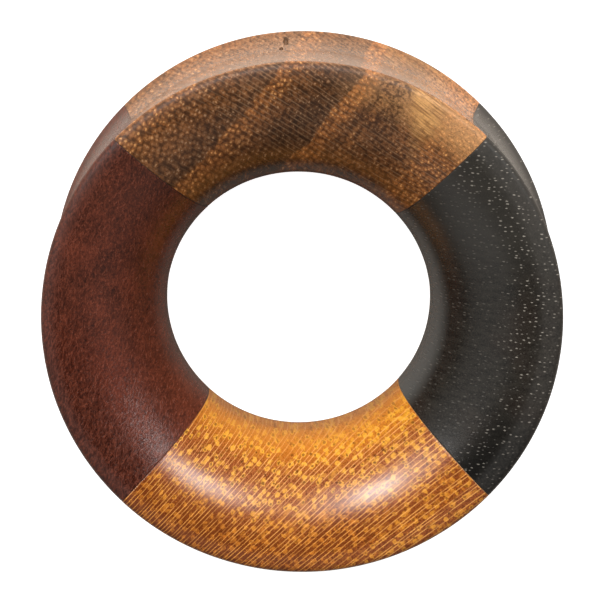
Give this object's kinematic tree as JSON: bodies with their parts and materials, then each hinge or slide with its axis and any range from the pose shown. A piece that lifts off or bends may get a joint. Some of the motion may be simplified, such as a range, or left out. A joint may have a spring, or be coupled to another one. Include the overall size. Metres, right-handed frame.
{
  "type": "wooden flesh tunnel",
  "caption": "Double-flared ear tunnel turned from four glued woods, with a wide bell-mouthed hole and a shallow outer groove for the lobe.",
  "frame": {"origin": "on the axis of the turned outside, at the surface that the back flare rests on", "axes": "+Z along the axis of the tunnel, out of the front face; +Y towards the top segment, +X towards the right segment"},
  "size_m": [0.0266, 0.0266, 0.0112],
  "materials": {
    "striped_brown_wood": "satin",
    "black_wood": "satin",
    "golden_wood": "polished",
    "red_brown_wood": "satin"
  },
  "bodies": {
    "root": {"top_segment": "striped_brown_wood", "right_segment": "black_wood", "bottom_segment": "golden_wood", "left_segment": "red_brown_wood"}
  },
  "joints": []
}
